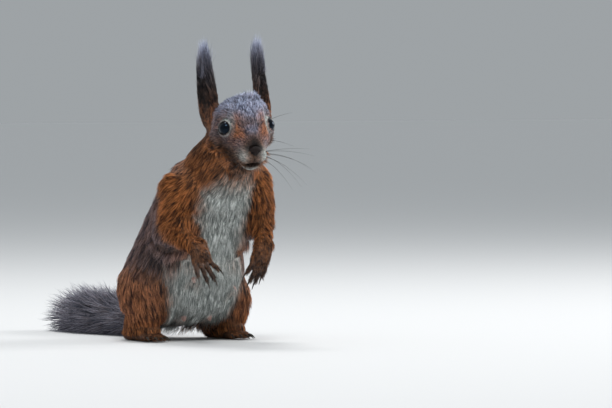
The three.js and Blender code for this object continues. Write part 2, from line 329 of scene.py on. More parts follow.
def only_largest(mesh):
    """Drops any small shell left inside the large one."""
    solid = bmesh.new()
    solid.from_mesh(mesh)
    unseen = set(solid.verts)
    shells = []
    while unseen:
        stack = [unseen.pop()]
        shell = list(stack)
        while stack:
            for edge in stack.pop().link_edges:
                for vert in edge.verts:
                    if vert in unseen:
                        unseen.remove(vert)
                        stack.append(vert)
                        shell.append(vert)
        shells.append(shell)
    largest = max(shells, key=len)
    spare = [vert for shell in shells if shell is not largest for vert in shell]
    bmesh.ops.delete(solid, geom=spare, context="VERTS")
    solid.to_mesh(mesh)
    solid.free()


def fill(places, owner):
    """How far the creases are closed, which is less under the ears."""
    closed = clothing("fill", owner).astype(float)
    for side in SIDES:
        off = np.linalg.norm(places - ear_line(side)[0], axis=1)
        closed *= 0.3 + 0.7 * ease(13 * MM, 26 * MM, off)
    return closed


def pushed(mesh, amount, tree, owners):
    """Moves each point along its evened normal, by millimetres that depend on its part."""
    edges, places = edges_of(mesh), places_of(mesh)
    distance = amount(places, owner_of(places, tree, owners))
    distance = evened(distance[:, None].astype(float), edges, 16)
    outward = unit(evened(normals_of(mesh), edges, 4))
    place(mesh, places + outward * distance * MM)


def softened(mesh, tree, owners, rounds, fine_rounds):
    """Rounds off the facets, and the head, ears, hands and feet less than the rest."""
    places, edges = places_of(mesh), edges_of(mesh)
    fine = is_on(owner_of(places, tree, owners), *FINE_PARTS)[:, None].astype(float)
    fine = evened(fine, edges, 6)
    soft = evened(places, edges, rounds)
    place(mesh, soft * (1 - fine) + evened(places, edges, fine_rounds) * fine)


def thinned(skin, tree, owners):
    """Spends fewer faces on the body than on the face, hands and feet."""
    holder = linked("holder", skin)
    places = places_of(skin)
    fine = is_on(owner_of(places, tree, owners), *FINE_PARTS) & (in_head(places)[:, 1] > BACK_OF_FACE)
    body = holder.vertex_groups.new(name="body")
    body.add(np.flatnonzero(~fine).tolist(), 1.0, "REPLACE")
    fewer = holder.modifiers.new("fewer", "DECIMATE")
    fewer.ratio = min(1.0, SKIN_TRIANGLES / sum(len(face.vertices) - 2 for face in skin.polygons))
    fewer.vertex_group = "body"
    return let_go(holder)


def bare_skin():
    """One seamless skin under the coat, and the node that each of its points belongs to."""
    shells, owners = flesh_shells()
    tree = BVHTree.FromBMesh(shells)
    outer = one_shell(made_mesh("shells", shells), VOXEL)
    pushed(outer, fill, tree, owners)
    filled = one_shell(outer, VOXEL)
    softened(filled, tree, owners, 30, 2)
    pushed(filled, lambda at, owner: -fill(at, owner) - clothing("depth", owner), tree, owners)
    skin = one_shell(filled, FINE_VOXEL)
    only_largest(skin)
    softened(skin, tree, owners, 8, 3)
    skin = thinned(skin, tree, owners)
    return skin, owner_of(places_of(skin), tree, owners)


def eye_axis(side):
    return unit(np.array(EYE_AXIS) * (SIDES[side], 1, 1))


def lids(local):
    """Lays the lids on each eyeball, open round its axis. Returns the places, and 1 at the lids' rims."""
    rim = np.zeros(len(local))
    radius = EYE_RADIUS / MM
    for side in SIDES:
        centre, axis = in_head(EYES[side]), eye_axis(side)
        away = local - centre
        reach = np.linalg.norm(away, axis=1)
        outward = away / np.maximum(reach, 1e-6)[:, None]
        along_axis = outward @ axis
        angle = np.degrees(np.arccos(np.clip(along_axis, -1, 1)))
        close = reach < radius * NEAR_EYE
        ahead = outward[:, 1] - axis[1] * along_axis
        raised = outward[:, 2] - axis[2] * along_axis
        opening = EYE_OPENING + FRONT_CORNER[side] * np.clip(ahead, 0, 1)
        opening += 2 * ease(0.2, 0.8, raised) - 7 * ease(-0.1, -0.7, raised)

        at_rim = close & (np.abs(angle - opening) < RIM_REACH)
        turned = unit(outward - axis * along_axis[:, None])
        at = np.radians(np.where(at_rim, opening, angle))
        outward = axis * np.cos(at)[:, None] + turned * np.sin(at)[:, None]
        angle = np.degrees(at)
        laid = ease(opening + LID_GONE, opening + LID_WHOLE, angle)
        lid = np.maximum(radius + LID, (radius + LID) * laid + reach * (1 - laid))
        reach = np.where(angle < opening - 1, radius - HIDDEN, np.where(angle < BACK_OF_EYE, lid, reach))
        moved = (close & (angle < BACK_OF_EYE))[:, None]
        local = np.where(moved, centre + outward * reach[:, None], local)
        rim = np.maximum(rim, np.where(close, ease(opening + 5, opening + 2, angle), 0))
    return local, rim


def mouth_line(across):
    """How far up the closed lips meet, by how far they are to the side."""
    return -18.7 - 0.004 * across**2


def lips(local):
    """Sinks the line of the mouth and the groove up to the nose."""
    across, ahead, up = local.T
    front = ease(10, 15, ahead)
    gape = 1.9 * ease(6.5, 3, np.abs(across)) + 0.3
    line = np.exp(-(((up - mouth_line(across)) / gape) ** 4)) * ease(6.5, 4.5, np.abs(across)) * front
    groove = np.exp(-((across / 0.7) ** 2)) * ease(-19, -17, up) * ease(-6, -8, up) * front
    sunk = 3.2 * line + 0.8 * groove
    return local - np.array([0, 1, 0]) * sunk[:, None], line


def muzzle(local):
    """Fills the whisker pads, the chin and the brows."""
    folded = mirrored(local)
    pad = 1.0 * spot(folded, (5.5, 19, -12.5), (4, 6, 4.5))
    brow = 0.7 * spot(folded, (13, 4, 7.5), (6, 5, 3))
    under_eye = 0.5 * spot(folded, (14, 6, -8), (6, 6, 3))
    outward = unit(local - (0, 4, -8))
    return local + outward * (pad + brow + under_eye)[:, None]


TEATS = [(-15.5, 46), (19, 39), (-10.5, 18), (10.5, 18)]  # how far to the side and up each is


def teat_places(skin_places, owner):
    """A point on the belly for each teat."""
    front = np.flatnonzero(is_on(owner, "trunk") & (skin_places[:, 1] < -45 * MM))
    off = [skin_places[front][:, [0, 2]] - np.array(teat) * MM for teat in TEATS]
    return [skin_places[front[np.argmin((each**2).sum(axis=1))]].copy() for each in off]


def under_breast(places):
    """The fold that the bent body makes under each side of the breast, where the white is also painted darker
    as shade.
    """
    return spot(mirrored(places / MM), (19, -74, 61), (10, 14, 3.2))


ARM_BACK_HEIGHTS = [68, 74, 79, 85, 92, 98, 105, 112]
ARM_BACK = [-85, -80, -74, -71.5, -71, -72, -72, -70]  # where the right arm's back begins, at each height
LEFT_ARM_OFF = (-9, 6)  # how much further ahead and up the left arm is
ARM_BACK_DEPTH = 3.0


def behind_arms(places, owner):
    """How far past the edge of the back of its arm each point is, in millimetres, and 1 on the arm's back."""
    past = np.full(len(places), -99.0)
    reach = np.zeros(len(places))
    for side in SIDES:
        back, up = LEFT_ARM_OFF if side == "left" else (0, 0)
        y, z = places[:, 1] / MM - back, places[:, 2] / MM - up
        arm = at_node(owner, f"upper_arm_{side}") | at_node(owner, f"forearm_{side}")
        past = np.where(arm, y - np.interp(z, ARM_BACK_HEIGHTS, ARM_BACK), past)
        reach = np.where(arm, ease(112, 103, z), reach)
    return past, ease(-0.5, 3.5, past) * reach


FACE_MIDDLE, FACE_REACH = (0, 4, -6), 40
FOLD_DEPTH = 0.9
TEAT_REACH, TEAT_HEIGHT = 2.3, 4.5
SPARSE_REACH = 5.0  # how far round a teat the coat is thin and painted darker as shade


def skin_details(skin, owner):
    """Shapes the lids, lips, whisker pads, arm backs and teats, and returns masks of these places."""
    places, normals = places_of(skin), normals_of(skin)
    near_face = np.linalg.norm(in_head(places) - FACE_MIDDLE, axis=1) < FACE_REACH
    local, line = lips(muzzle(in_head(places[near_face])))
    local, rim = lids(local)
    places[near_face] = from_head(local)
    dark = np.zeros(len(places))
    dark[near_face] = np.maximum(rim, line)
    places -= normals * (under_breast(places) * FOLD_DEPTH * MM)[:, None]
    past, behind_arm = behind_arms(places, owner)
    behind_arm = evened(behind_arm[:, None], edges_of(skin), 3)[:, 0]
    places -= normals * (behind_arm * ARM_BACK_DEPTH * MM)[:, None]
    # A dark line is painted along the crease behind each arm, as the arm's shadow on the flank.
    painted_crease_shadow = np.exp(-(((past - 1.5) / 2.2) ** 2)) * (behind_arm > 0.05)
    pink, sparse_and_shaded = np.zeros(len(places)), np.zeros(len(places))
    for teat in teat_places(places, owner):
        near = spot(places, teat, (TEAT_REACH * MM,) * 3)
        sparse_and_shaded = np.maximum(sparse_and_shaded, spot(places, teat, (SPARSE_REACH * MM,) * 3))
        places += normals * (near * TEAT_HEIGHT * MM)[:, None]
        pink = np.maximum(pink, near)
    place(skin, places)
    return {"bare": np.maximum(dark, ease(0.15, 0.6, pink)), "dark": dark, "pink": ease(0.1, 0.6, pink),
            "sparse_and_shaded": sparse_and_shaded, "behind_arm": behind_arm, "painted_crease_shadow": painted_crease_shadow}


# Lie of the coat

def ear_line(side):
    """An ear's base and the tip of its tuft."""
    low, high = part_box(f"ear_{side}")
    tuft_low, tuft_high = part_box(f"ear_tuft_{side}")
    base = np.array([(low.x + high.x) / 2, high.y, low.z])
    tip = np.array([(tuft_low.x + tuft_high.x) / 2, (tuft_low.y + tuft_high.y) / 2, tuft_high.z])
    return base, tip


def head_flow(places):
    """Hair leaves the nose, sweeps back over the crown and down over the cheeks."""
    local = in_head(places)
    from_nose = unit(local - (0, 26, -6))
    back = np.array([0, -1, 0.0])
    sweep = from_nose + back * 0.7
    sweep[:, 2] -= 0.45 * ease(2, -12, local[:, 2])
    sweep[:, 0] += 0.35 * np.sign(local[:, 0]) * ease(0, -10, local[:, 2])
    behind = ease(0, -14, local[:, 1])
    sweep[:, 2] -= 1.6 * behind
    sweep[:, :2] *= 1 - 0.6 * behind[:, None]
    return unit(sweep @ HEAD_AXES)


def down_flow(places, back, out):
    flow = np.tile([0.0, back, -1.0], (len(places), 1))
    flow[:, 0] = out * np.sign(places[:, 0]) * ease(0, 14 * MM, np.abs(places[:, 0]))
    return flow


def trunk_flow(places):
    """Down the breast and belly, and down and back over the flanks to the tail."""
    flow = down_flow(places, 0.0, 0.1)
    behind = ease(-70 * MM, -35 * MM, places[:, 1])
    flow[:, 1] = 0.75 * behind * ease(110 * MM, 30 * MM, places[:, 2]) + 0.2 * behind
    return flow


def neck_flow(places):
    """Down the throat, and out and back over the shoulders."""
    flow = down_flow(places, 0.15, 1.0)
    flow[:, 0] *= 0.9 * ease(155 * MM, 125 * MM, places[:, 2])
    flow[:, 1] += 0.6 * ease(-104 * MM, -84 * MM, places[:, 1])
    return flow


def arm_flow(places):
    """Down, out and back off the shoulder and the elbow."""
    low = ease(100 * MM, 75 * MM, places[:, 2])[:, None]
    return unit(down_flow(places, 0.9, 0.7) * (1 - low) + down_flow(places, 0.4, 0.25) * low)


def along(start, end):
    def flow(places):
        return np.tile(unit(end - start), (len(places), 1))
    return flow


def forearm_flow(elbow, wrist):
    """Off the elbow like the upper arm's hair, then turning along the wrist to the hand."""
    def flow(places):
        turned = ease(0.25, 0.95, share_along(elbow, wrist, places))[:, None]
        return arm_flow(places) * (1 - turned) + unit(wrist - elbow - (0, 0, 0.012)) * turned
    return flow


def flows():
    """For each node, the way its hair lies."""
    made = {"head": head_flow, "neck": neck_flow, "trunk": trunk_flow}
    made["tail"] = along(np.zeros(3), np.array([0, 1.0, 0]))
    for side in SIDES:
        elbow = joint(f"upper_arm_{side}", f"forearm_{side}")
        wrist = joint(f"forearm_{side}", f"forepaw_{side}")
        low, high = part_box(f"forepaw_{side}")
        fingertips = np.array([(low.x + high.x) / 2, (low.y + high.y) / 2, low.z])
        made[f"upper_arm_{side}"] = arm_flow
        made[f"forearm_{side}"] = forearm_flow(elbow, wrist)
        made[f"forepaw_{side}"] = along(wrist, fingertips)
        made[f"thigh_{side}"] = along(np.zeros(3), np.array([-0.2 * SIDES[side], -0.4, -1]))
        ankle = joint(f"lower_leg_{side}", f"hind_foot_{side}")
        made[f"lower_leg_{side}"] = along(middle(f"lower_leg_{side}"), ankle - (0, 0, 0.01))
        made[f"hind_foot_{side}"] = along(np.zeros(3), np.array([0, -1, -0.12]))
        made[f"ear_{side}"] = along(*ear_line(side))
    return made


def laid_flat(flow, normals):
    """The part of each flow that runs along the skin."""
    return flow - normals * (flow * normals).sum(axis=1)[:, None]


def ear_share(side, places):
    """How far along the ear's line each place is, and its nearest point on that line."""
    base, tip = ear_line(side)
    share = share_along(base, tip, places)
    return share, base + share[:, None] * (tip - base)


def ear_heights(places, owner):
    """How far along its ear's line each point of the ears is, and 0 elsewhere."""
    height = np.zeros(len(places))
    for side in SIDES:
        mine = at_node(owner, f"ear_{side}")
        height[mine] = ear_share(side, places[mine])[0]
    return height


def ear_inside(side, places, normals):
    """1 in the hollow that the ear opens to the front."""
    opening = unit(np.array([SIDES[side] * 0.7, 0.7, 0.1])) @ HEAD_AXES
    share, nearest = ear_share(side, places)
    off = np.linalg.norm(places - nearest, axis=1) / MM
    return ease(0.2, 0.7, normals @ opening) * ease(8.5, 6.0, off) * ease(0.62, 0.5, share)


def head_hair(places, tip_lift):
    """Measures of the head's hair: shortest on the muzzle and round the eyes, longest on nape and cheeks."""
    local = in_head(places)
    hair = np.interp(local[:, 1], [-16, -6, 6, 16, 24], [5.0, 5.0, 4.0, 2.5, 1.5])
    hair += 3.5 * ease(-6, -16, local[:, 2]) * ease(11, 2, local[:, 1])
    for side in SIDES:
        hair *= 0.28 + 0.72 * ease(6.8, 12, np.linalg.norm(local - in_head(EYES[side]), axis=1))
    beside_ear = spot(local, (6, -12, 16), (5, 8, 5))
    broad = np.interp(local[:, 1], [-10, 8, 22], [0.5, 0.4, 0.3])
    root_lift = np.interp(local[:, 1], [-10, 8, 22], [40, 30, 20]) + 12 * beside_ear
    return np.stack([hair + 2.5 * beside_ear, broad, root_lift, tip_lift + 10 * beside_ear], axis=1)


def set_measures(places, normals, owner):
    """How long and broad the hair is at each point, and how far it stands up at its root and tip."""
    columns = ("hair", "broad", "root_lift", "tip_lift")
    measures = np.stack([clothing(column, owner) for column in columns], axis=1).astype(float)
    height = ear_heights(places, owner)
    for side in SIDES:
        mine = at_node(owner, f"ear_{side}")
        measures[mine, 0] = np.interp(height[mine], [0.1, 0.3, 0.45, 0.62], [4.0, 6, 14, EAR_TUFT_HAIR])
        measures[mine, 0] *= 1 - 0.6 * ear_inside(side, places[mine], normals[mine])
    head, collar, tail = (at_node(owner, node) for node in ("head", "neck", "tail"))
    measures[head] = head_hair(places[head], measures[head, 3])
    measures[collar, 0] *= 0.5 + 0.5 * ease(5, -18, in_head(places[collar])[:, 2])
    along_tail = places[tail, 1] / MM
    measures[tail, 0] = np.interp(along_tail, [-6, 8, 25, 60, 110], [9, 13, 18, 21, 24])
    measures[tail, 2] = np.interp(along_tail, [-6, 8, 30, 60], [20, 30, 44, 50])
    low_belly = is_on(owner, "trunk") & (places[:, 2] < 30 * MM)
    measures[low_belly, 0] += 4 * ease(30, 10, places[low_belly, 2] / MM)
    under, over = ease(-0.2, -0.8, normals[:, 2]), ease(0.1, 0.6, normals[:, 2])
    measures[:, 0] *= 1 - is_on(owner, "upper_arm", "forearm") * (0.5 * under + 0.3 * over)
    return measures


def lie_of_coat(places, normals, edges, owner, bare):
    """The way the hair lies at each point of the skin, and its measures."""
    flow = np.zeros_like(places)
    for node, way in flows().items():
        mine = at_node(owner, node)
        flow[mine] = unit(way(places[mine]))
    measures = evened(set_measures(places, normals, owner), edges, 8)
    measures[:, 0] *= 1 - 0.5 * bare["sparse_and_shaded"]
    flow = evened(flow, edges, 90)
    agreed = ease(0.3, 0.85, np.linalg.norm(flow, axis=1))  # less where the coat parts two ways
    measures[:, 0] *= 0.5 + 0.5 * agreed
    measures[:, 2] *= 0.35 + 0.65 * agreed
    flow = unit(flow)
    standing = ease(0.7, 1.0, (flow * normals).sum(axis=1)) * ease(-0.4, -0.9, normals[:, 2])
    measures[:, 2] += 30 * standing
    measures[:, 3] += 35 * standing
    flow = evened(unit(laid_flat(flow, normals)), edges, 10)
    return unit(laid_flat(flow, normals)), measures


# Markings

WHITE_HEIGHTS = [3, 10, 25, 45, 55, 62, 70, 88, 100, 112, 119, 126]
WHITE_BREADTHS = [18, 20, 26, 29, 28, 24, 18, 15, 18, 17, 13, 5]  # half of the white bib, at each height
ARM_BACK_SHARES = (0, 0.34, 0.38, 0.25)  # the flank's colour: white, frosted, rusty and dark


def waver(places, size):
    """Smooth seeded noise about zero."""
    return np.array([noise.noise(Vector(p) / (size * MM)) for p in places])


# How rusty, dark and frosted the coat of each part is before its own shading.
RUSTY_PARTS = {"neck": 0.9, "upper_arm": 1.0, "forearm": 1.0, "thigh": 0.85, "lower_leg": 0.9,
               "hind_foot": 0.75, "tail": 0.1}
DARK_PARTS = {"hind_foot": 0.35, "tail": 0.5, "upper_arm": 0.12, "forearm": 0.18}
FROSTED_PARTS = {"tail": 0.55, "trunk": 0.34, "thigh": 0.08}


def white_below(places, owner, normals, wander):
    """White of the throat, breast, belly and insides of the legs."""
    x, y, z = (places / MM).T
    breadth = np.interp(z, WHITE_HEIGHTS, WHITE_BREADTHS)
    white = ease(-5, 3.5, breadth - np.abs(x) + wander) * ease(-0.15, 0.3, -normals[:, 1])
    white *= is_on(owner, "trunk", "neck")
    # The top of the bib is painted darker as the shadow under the chin, and the fold under the breast as
    # painted shade.
    white *= (1 - 0.6 * ease(108, 122, z)) * (1 - 0.55 * under_breast(places))
    inner = ease(0.3, 0.8, -normals[:, 0] * np.sign(x)) * is_on(owner, "thigh", "lower_leg")
    return np.maximum(white, 0.8 * inner * ease(-20, -40, y) * ease(12, 24, z))


def body_markings(places, owner, normals):
    """White, frosted, rusty and dark shares of the coat behind the head."""
    _, y, z = (places / MM).T
    wander = waver(places, 7) * 5 + waver(places, 2) * 3
    trunk, neck, thigh = (is_on(owner, part) for part in ("trunk", "neck", "thigh"))
    saddle = ease(-85, -40, y) * ease(35, 70, z)
    elbow = spot(mirrored(places / MM), (38, -60, 60), (14, 16, 12))
    rust = 0.75 - 0.35 * saddle - 0.35 * elbow + 0.3 * wander / 5
    rust = np.where(trunk, rust, each_part(RUSTY_PARTS, owner))
    rust -= 0.4 * is_on(owner, "upper_arm") * ease(-75, -45, y) + 0.25 * neck * ease(-95, -70, y)
    rust -= 0.3 * thigh * ease(45, 70, z)
    frost = each_part(FROSTED_PARTS, owner) * np.where(trunk, np.maximum(saddle, elbow), 1)
    # The trunk's sides behind the arms are painted darker, as shade on the flank.
    shaded_flank = trunk * ease(0.4, 0.8, np.abs(normals[:, 0])) * ease(-70, -55, y)
    # The undersides of the arms are painted dark, as shade under them.
    shade_under_arm = is_on(owner, "upper_arm", "forearm") * ease(-0.1, -0.7, normals[:, 2])
    dark = np.maximum(np.maximum(each_part(DARK_PARTS, owner), 0.35 * shaded_flank), 0.7 * shade_under_arm)
    for side in SIDES:
        below_ear = spot(places, ear_line(side)[0], (14 * MM,) * 3) * neck
        dark = np.maximum(dark, np.clip(1.1 * below_ear, 0, 0.75))
        paw = at_node(owner, f"forepaw_{side}")
        low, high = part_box(f"forepaw_{side}")
        down = ease(high.z, low.z, places[paw, 2])
        dark[paw] = 0.3 + 0.5 * down
        rust[paw] = 0.9 - 0.4 * down
        ear = at_node(owner, f"ear_{side}")
        share = ear_share(side, places[ear])[0]
        inside = ear_inside(side, places[ear], normals[ear])
        frost[ear] = 0.1 + 0.8 * ease(0.32, 0.66, share)
        rust[ear] = 0.9 - 0.75 * ease(0.2, 0.5, share)
        # The ear's hollow is painted darker, as shade inside it.
        dark[ear] = 0.25 + 0.5 * inside + 0.5 * ease(0.2, 0.4, share) - 0.35 * ease(0.45, 0.7, share)
    return white_below(places, owner, normals, wander), frost, rust, dark


def eye_ring(folded):
    """1 in the pale ring round the lids, which fades below the eye."""
    away = folded - in_head(EYES["left"])
    reach = np.linalg.norm(away, axis=1)
    angle = np.degrees(np.arccos(np.clip(away @ eye_axis("left") / np.maximum(reach, 1e-6), -1, 1)))
    ring = ease(11.5, 9.5, reach) * ease(EYE_OPENING + 3, EYE_OPENING + 9, angle)
    return ring * ease(EYE_OPENING + 30, EYE_OPENING + 19, angle) * (1 - 0.6 * ease(0, -4, away[:, 2]))


# Places on the left of the head, in millimetres to the side, ahead and up, and how far each one reaches.
HEAD_SPOTS = {
    "brow": ((12, 11, 3), (4.5, 4.5, 7)),
    "beside_bridge": ((7.5, 17, 2.5), (3.6, 4.5, 4)),
    "temple": ((9, 6, 11), (5, 4, 3.5)),
    "bridge": ((1.5, 16, 5.5), (4, 5, 5)),
    "whisker_pad": ((7.6, 23, -10.5), (3.4, 5, 4.6)),
    "jaw": ((9.5, 18, -14), (4, 4, 3.5)),
    "eye_corner": ((13, 8, 0), (3, 4, 5)),
    "over_nose": ((0, 25, -2), (5.5, 6, 4.6)),
    "behind_nose": ((0, 20, 1), (2.4, 4, 3)),
    "beside_nose": ((4.4, 25, -5), (2.2, 4, 2.6)),
    "mouth": ((0, 22, -18.0), (5.2, 5, 2.7)),
    "cheek": ((17, 4, -10.5), (7, 10, 4.5)),
    "low_cheek": ((14, 9, -16), (6, 9, 4.5)),
    "lip_groove": ((0, 27, -13.5), (1.3, 5, 4.5)),
}
SHADED_MUZZLE_WHITE = 0.62  # how white the right of the muzzle is beside the left; the right is painted greyer as shade


def head_markings(local):
    """The same shares on the head: frosted crown, rusty face, dark cheeks, white muzzle and eye rings."""
    folded = mirrored(local)
    across, ahead, up = folded.T
    wander = waver(local * MM, 3.5)
    streaks = waver(local * (1, 0.3, 1) * MM, 1.7)
    at = {name: spot(folded, *measures) for name, measures in HEAD_SPOTS.items()}
    ginger = 1.15 * at["brow"] + 0.7 * at["beside_bridge"] + 0.45 * at["temple"]
    frost = 0.4 + 0.6 * ease(6, 12, up - 0.2 * ahead + 4 * wander)
    frost = np.maximum(frost, 0.9 * at["bridge"])
    frost *= ease(23, 18, ahead) * ease(-15, -3, up) * (1 - 0.85 * np.clip(ginger, 0, 1))
    rust = 0.38 + 0.35 * wander - 0.2 * ease(8, 15, up) + ginger
    rust += 0.5 * ease(-8, -18, up) * ease(4, -8, ahead)
    mouth = np.clip(2.2 * at["mouth"], 0, 1)
    white = (1.1 * at["whisker_pad"] + 0.6 * at["jaw"]) * np.where(local[:, 0] > 0, 1, SHADED_MUZZLE_WHITE)
    white = np.maximum(white, ease(-21, -22.5, up) * ease(13, 17, ahead) * ease(10, 6, across))
    white = np.maximum(white, 0.95 * eye_ring(folded) * (1 - 0.6 * at["eye_corner"])) * (1 - mouth)
    dark = 1.2 * at["over_nose"] + 0.4 * at["behind_nose"] + 0.9 * at["beside_nose"]
    dark += (0.55 + 0.6 * streaks) * at["cheek"]
    # The low cheek is darker: its own dark streaks, with painted shade under the jaw.
    dark += (0.30 + 0.5 * streaks) * at["low_cheek"]
    dark = np.maximum(np.maximum(dark * (1 - white), at["lip_groove"]), mouth)
    return [np.clip(share, 0, 1) for share in (white, frost, rust, dark)]


def markings(places, normals, edges, owner, bare):
    """The four shares at each point of the skin, as columns."""
    shares = np.stack(body_markings(places, owner, normals), axis=1)
    behind = bare["behind_arm"][:, None]
    shares = shares * (1 - behind) + np.array(ARM_BACK_SHARES) * behind
    head = at_node(owner, "head")
    shares[head] = np.stack(head_markings(in_head(places[head])), axis=1)
    shares = evened(shares, edges, 4)
    off_head = (~head).astype(float)[:, None]
    off_head *= evened(off_head, edges, 20)
    wide = evened(shares, edges, 60)
    wide[:, 0] = shares[:, 0]
    blended = shares * (1 - off_head) + wide * off_head
    shares = np.where(is_on(owner, *FINE_PARTS)[:, None], shares, blended)
    # Lid rims and lips are dark skin; round the teats and along the crease behind the arms, dark is painted
    # as shade.
    for mask, amount in (("dark", 1), ("sparse_and_shaded", 0.45), ("painted_crease_shadow", 0.75)):
        shares[:, 3] = np.maximum(shares[:, 3], amount * bare[mask])
    shares[:, 0] *= (1 - bare["dark"]) * (1 - 0.5 * bare["sparse_and_shaded"])
    return np.clip(shares, 0, 1)


# Coat

class Coat:
    """Where tufts may root on the skin, and what each one takes from its root."""

    def __init__(self, skin, owner, shares, bare, material):
        skin.calc_loop_triangles()
        self.corners = read(skin.loop_triangles, "vertices", 3, np.int32)
        loops = read(skin.loop_triangles, "loops", 3, np.int32)
        self.unwrap = read(skin.uv_layers["OFBake"].data, "uv", 2)[loops]
        self.places, self.normals = places_of(skin), normals_of(skin)
        self.flow, self.measures = lie_of_coat(self.places, self.normals, edges_of(skin), owner, bare)
        self.shares = shares
        self.material = material
        sides = self.places[self.corners]
        across = np.cross(sides[:, 1] - sides[:, 0], sides[:, 2] - sides[:, 0])
        self.areas = np.linalg.norm(across, axis=1) / 2

    def roots(self, weight, count):
        """Random roots, with their weight given at the skin's points."""
        chance = self.areas * weight[self.corners].mean(axis=1)
        faces = rng.choice(len(chance), count, p=chance / chance.sum())
        first, second = rng.random(count), rng.random(count)
        over = first + second > 1
        first, second = np.where(over, 1 - first, first), np.where(over, 1 - second, second)
        mix = np.stack([1 - first - second, first, second], axis=1)
        return faces, mix

    def at(self, values, faces, mix):
        """What the skin's points hold, at the roots."""
        return (values[self.corners[faces]] * mix[:, :, None]).sum(axis=1)


EVEN = (1, 1, 1)  # clumps as broad as they are high
STREAK = 2.2  # how broad the streaks of one shade in long fur are
HAIR_RANGE = (0.7, 1.15)  # how many times the coat's own length, breadth and lift one tuft may have
BROAD_RANGE = (0.7, 1.2)
LIFT_RANGE = (0.75, 1.2)
CURL = 0.07
LOWEST = 0.25  # height over the floor under which the coat is laid flat
FLATNESS = 0.6  # how thick a tuft is beside its breadth
PATCH = (0.0015, 0.003)  # how much of the unwrap one tuft takes


def gathered(places, directions, every, pull, grain):
    """How far each tuft's tip leans to the tip of its clump, and a random share for the clump."""
    heads = rng.choice(len(places), max(4, len(places) // every), replace=False)
    spaced = places * grain
    tree = KDTree(len(heads))
    for index, head in enumerate(heads):
        tree.insert(spaced[head], index)
    tree.balance()
    clump = np.array([tree.find(p)[1] for p in spaced])
    tips = places + directions
    lean = (tips[heads][clump] - tips) * pull
    share = rng.random(len(heads))
    if grain != EVEN:  # long fur falls in streaks of one shade
        share = 0.5 + 0.9 * (share - 0.5) + 0.55 * waver(spaced[heads], STREAK)
    return lean, np.clip(share, 0, 1)[clump]


def above_floor(places):
    """Lays whatever would reach the floor just above it."""
    height = places[..., 2] / MM
    low = LOWEST * np.exp(np.minimum(height - LOWEST, 0) / 1.5) * 0.9 + 0.1 * LOWEST
    places[..., 2] = np.where(height < LOWEST, low, height) * MM
    return places


def three_sided(line, normal, broad):
    """The points of a closed tuft round each line: rings of three that taper to its tip."""
    breadths = np.array([0.75 + 0.25 * share - 0.75 * share**2.2 for share in np.linspace(0, 1, len(line))])
    width = (broad / 2)[None, :, None] * breadths[:, None, None]
    way = unit(np.gradient(line, axis=0))
    across = unit(np.cross(way, normal))
    outward = np.cross(across, way)
    turns = np.arange(3) * 2 * math.pi / 3 + math.pi / 2
    line, width, across, outward, tip = line[:-1], width[:-1], across[:-1], outward[:-1], line[-1]
    body = [line + width * (across * math.cos(a) + outward * math.sin(a) * FLATNESS) for a in turns]
    body = np.stack(body, axis=2).transpose(1, 0, 2, 3).reshape(len(broad), -1, 3)
    return np.concatenate([body, tip[:, None]], axis=1)


def joined(name, points, rings):
    """One mesh of all the tufts, and the point at each of its faces' corners."""
    count, size = points.shape[:2]
    quads = [[r * 3 + i, r * 3 + 3 + i, r * 3 + 3 + (i + 1) % 3, r * 3 + (i + 1) % 3]
             for r in range(rings - 1) for i in range(3)]
    last = (rings - 1) * 3
    triangles = [[last + i, size - 1, last + (i + 1) % 3] for i in range(3)] + [[0, 1, 2]]
    loops = (np.arange(count)[:, None] * size + np.array(sum(quads + triangles, []))).ravel()
    totals = np.tile([4] * len(quads) + [3] * len(triangles), count)
    mesh = bpy.data.meshes.new(name)
    mesh.vertices.add(count * size)
    mesh.vertices.foreach_set("co", points.astype(np.float32).ravel())
    mesh.loops.add(len(loops))
    mesh.loops.foreach_set("vertex_index", loops.astype(np.int32))
    mesh.polygons.add(len(totals))
    mesh.polygons.foreach_set("loop_start", np.concatenate([[0], np.cumsum(totals)[:-1]]).astype(np.int32))
    mesh.update(calc_edges=True)
    return mesh, loops


